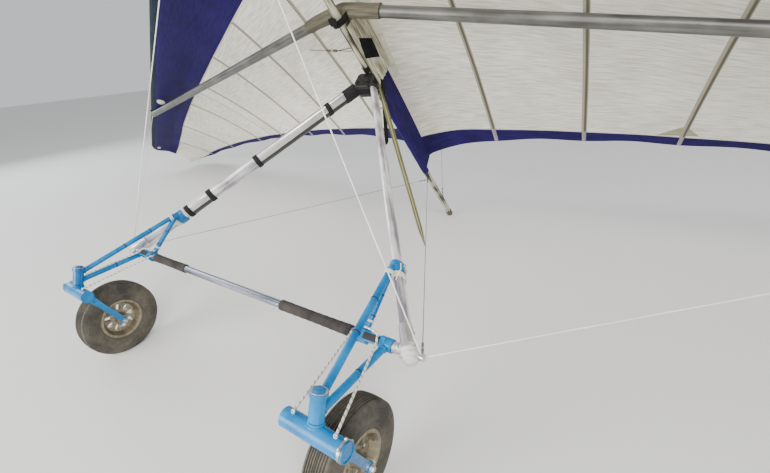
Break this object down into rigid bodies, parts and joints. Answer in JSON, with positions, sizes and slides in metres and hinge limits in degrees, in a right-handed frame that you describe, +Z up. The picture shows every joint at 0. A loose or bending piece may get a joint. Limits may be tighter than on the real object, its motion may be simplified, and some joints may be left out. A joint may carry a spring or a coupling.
{
  "type": "two-seat flex-wing hang glider with castering ground wheels",
  "caption": "Two-seat flex-wing hang glider with a kingpost, wire-braced control frame and castering ground wheels, parked nose-up on its wheels and keel.",
  "frame": {"origin": "bottom centre of the parked glider's box, on the floor between its wheels and its tail", "axes": "+X to the glider's left, along the wing span; +Y aft, from the nose to the tail; +Z up"},
  "size_m": [10, 3.4704, 2.4488],
  "materials": {
    "alloy": "anodised",
    "grey_tube": "anodised",
    "gear_paint": "gloss",
    "steel": "satin",
    "rim_metal": "satin",
    "wire": "satin",
    "sail_cloth": "matte",
    "navy_cloth": "matte",
    "sleeve_cloth": "matte",
    "webbing": "matte",
    "foam": "matte",
    "tyre": "matte",
    "plastic": "matte"
  },
  "bodies": {
    "airframe": {"keel": "alloy", "keel_tail_cap": "plastic", "nose_plate": "alloy", "nose_cover": "navy_cloth", "leading_edge_left": "grey_tube", "leading_edge_right": "grey_tube", "crossbar_left": "grey_tube", "crossbar_right": "grey_tube", "crossbar_cover": "sleeve_cloth", "kingpost": "alloy", "apex_bracket": "plastic", "downtube_left": "alloy", "downtube_right": "alloy", "base_tube": "alloy", "base_grip_left": "foam", "base_grip_right": "foam", "corner_bracket_left": "alloy", "corner_bracket_right": "alloy", "leading_edge_pocket_left": "navy_cloth", "leading_edge_pocket_right": "navy_cloth", "sail_inner_left": "sail_cloth", "sail_inner_right": "sail_cloth", "sail_outer_left": "sail_cloth", "sail_outer_right": "sail_cloth", "trailing_band_left": "navy_cloth", "trailing_band_right": "navy_cloth", "keel_pocket": "navy_cloth", "front_wire_left": "wire", "front_wire_right": "wire", "side_wire_left": "wire", "side_wire_right": "wire", "rear_wire_left": "wire", "rear_wire_right": "wire", "upper_side_wire_left": "wire", "upper_side_wire_right": "wire", "upper_front_wire": "wire", "upper_rear_wire": "wire", "gear_frame_left": "gear_paint", "gear_frame_right": "gear_paint"},
    "caster_left": {"fork_left": "gear_paint", "axle_left": "steel"},
    "caster_right": {"fork_right": "gear_paint", "axle_right": "steel"},
    "wheel_left": {"rim_left": "rim_metal", "tyre_left": "tyre"},
    "wheel_right": {"rim_right": "rim_metal", "tyre_right": "tyre"},
    "loop": {"hang_loop": "webbing"}
  },
  "joints": [
    {"name": "caster_left_swivel", "type": "hinge", "parent": "airframe", "child": "caster_left", "pos_m": [0.805, -1.63947, 0.50861], "axis": [0, 0.3301, 0.944], "range_deg": [-40, 40], "stiffness_Nm_per_rad": 60},
    {"name": "caster_right_swivel", "type": "hinge", "parent": "airframe", "child": "caster_right", "pos_m": [-0.805, -1.63947, 0.50861], "axis": [0, 0.3301, 0.944], "range_deg": [-40, 40], "stiffness_Nm_per_rad": 60},
    {"name": "wheel_left_spin", "type": "hinge", "parent": "caster_left", "child": "wheel_left", "pos_m": [0.805, -1.53551, 0.2], "axis": [1, 0, 0], "continuous": true},
    {"name": "wheel_right_spin", "type": "hinge", "parent": "caster_right", "child": "wheel_right", "pos_m": [-0.805, -1.53551, 0.2], "axis": [1, 0, 0], "continuous": true},
    {"name": "hang_loop_swing", "type": "hinge", "parent": "airframe", "child": "loop", "pos_m": [0, -0.00747, 1.18792], "axis": [1, 0, 0], "range_deg": [-60, 0]}
  ]
}
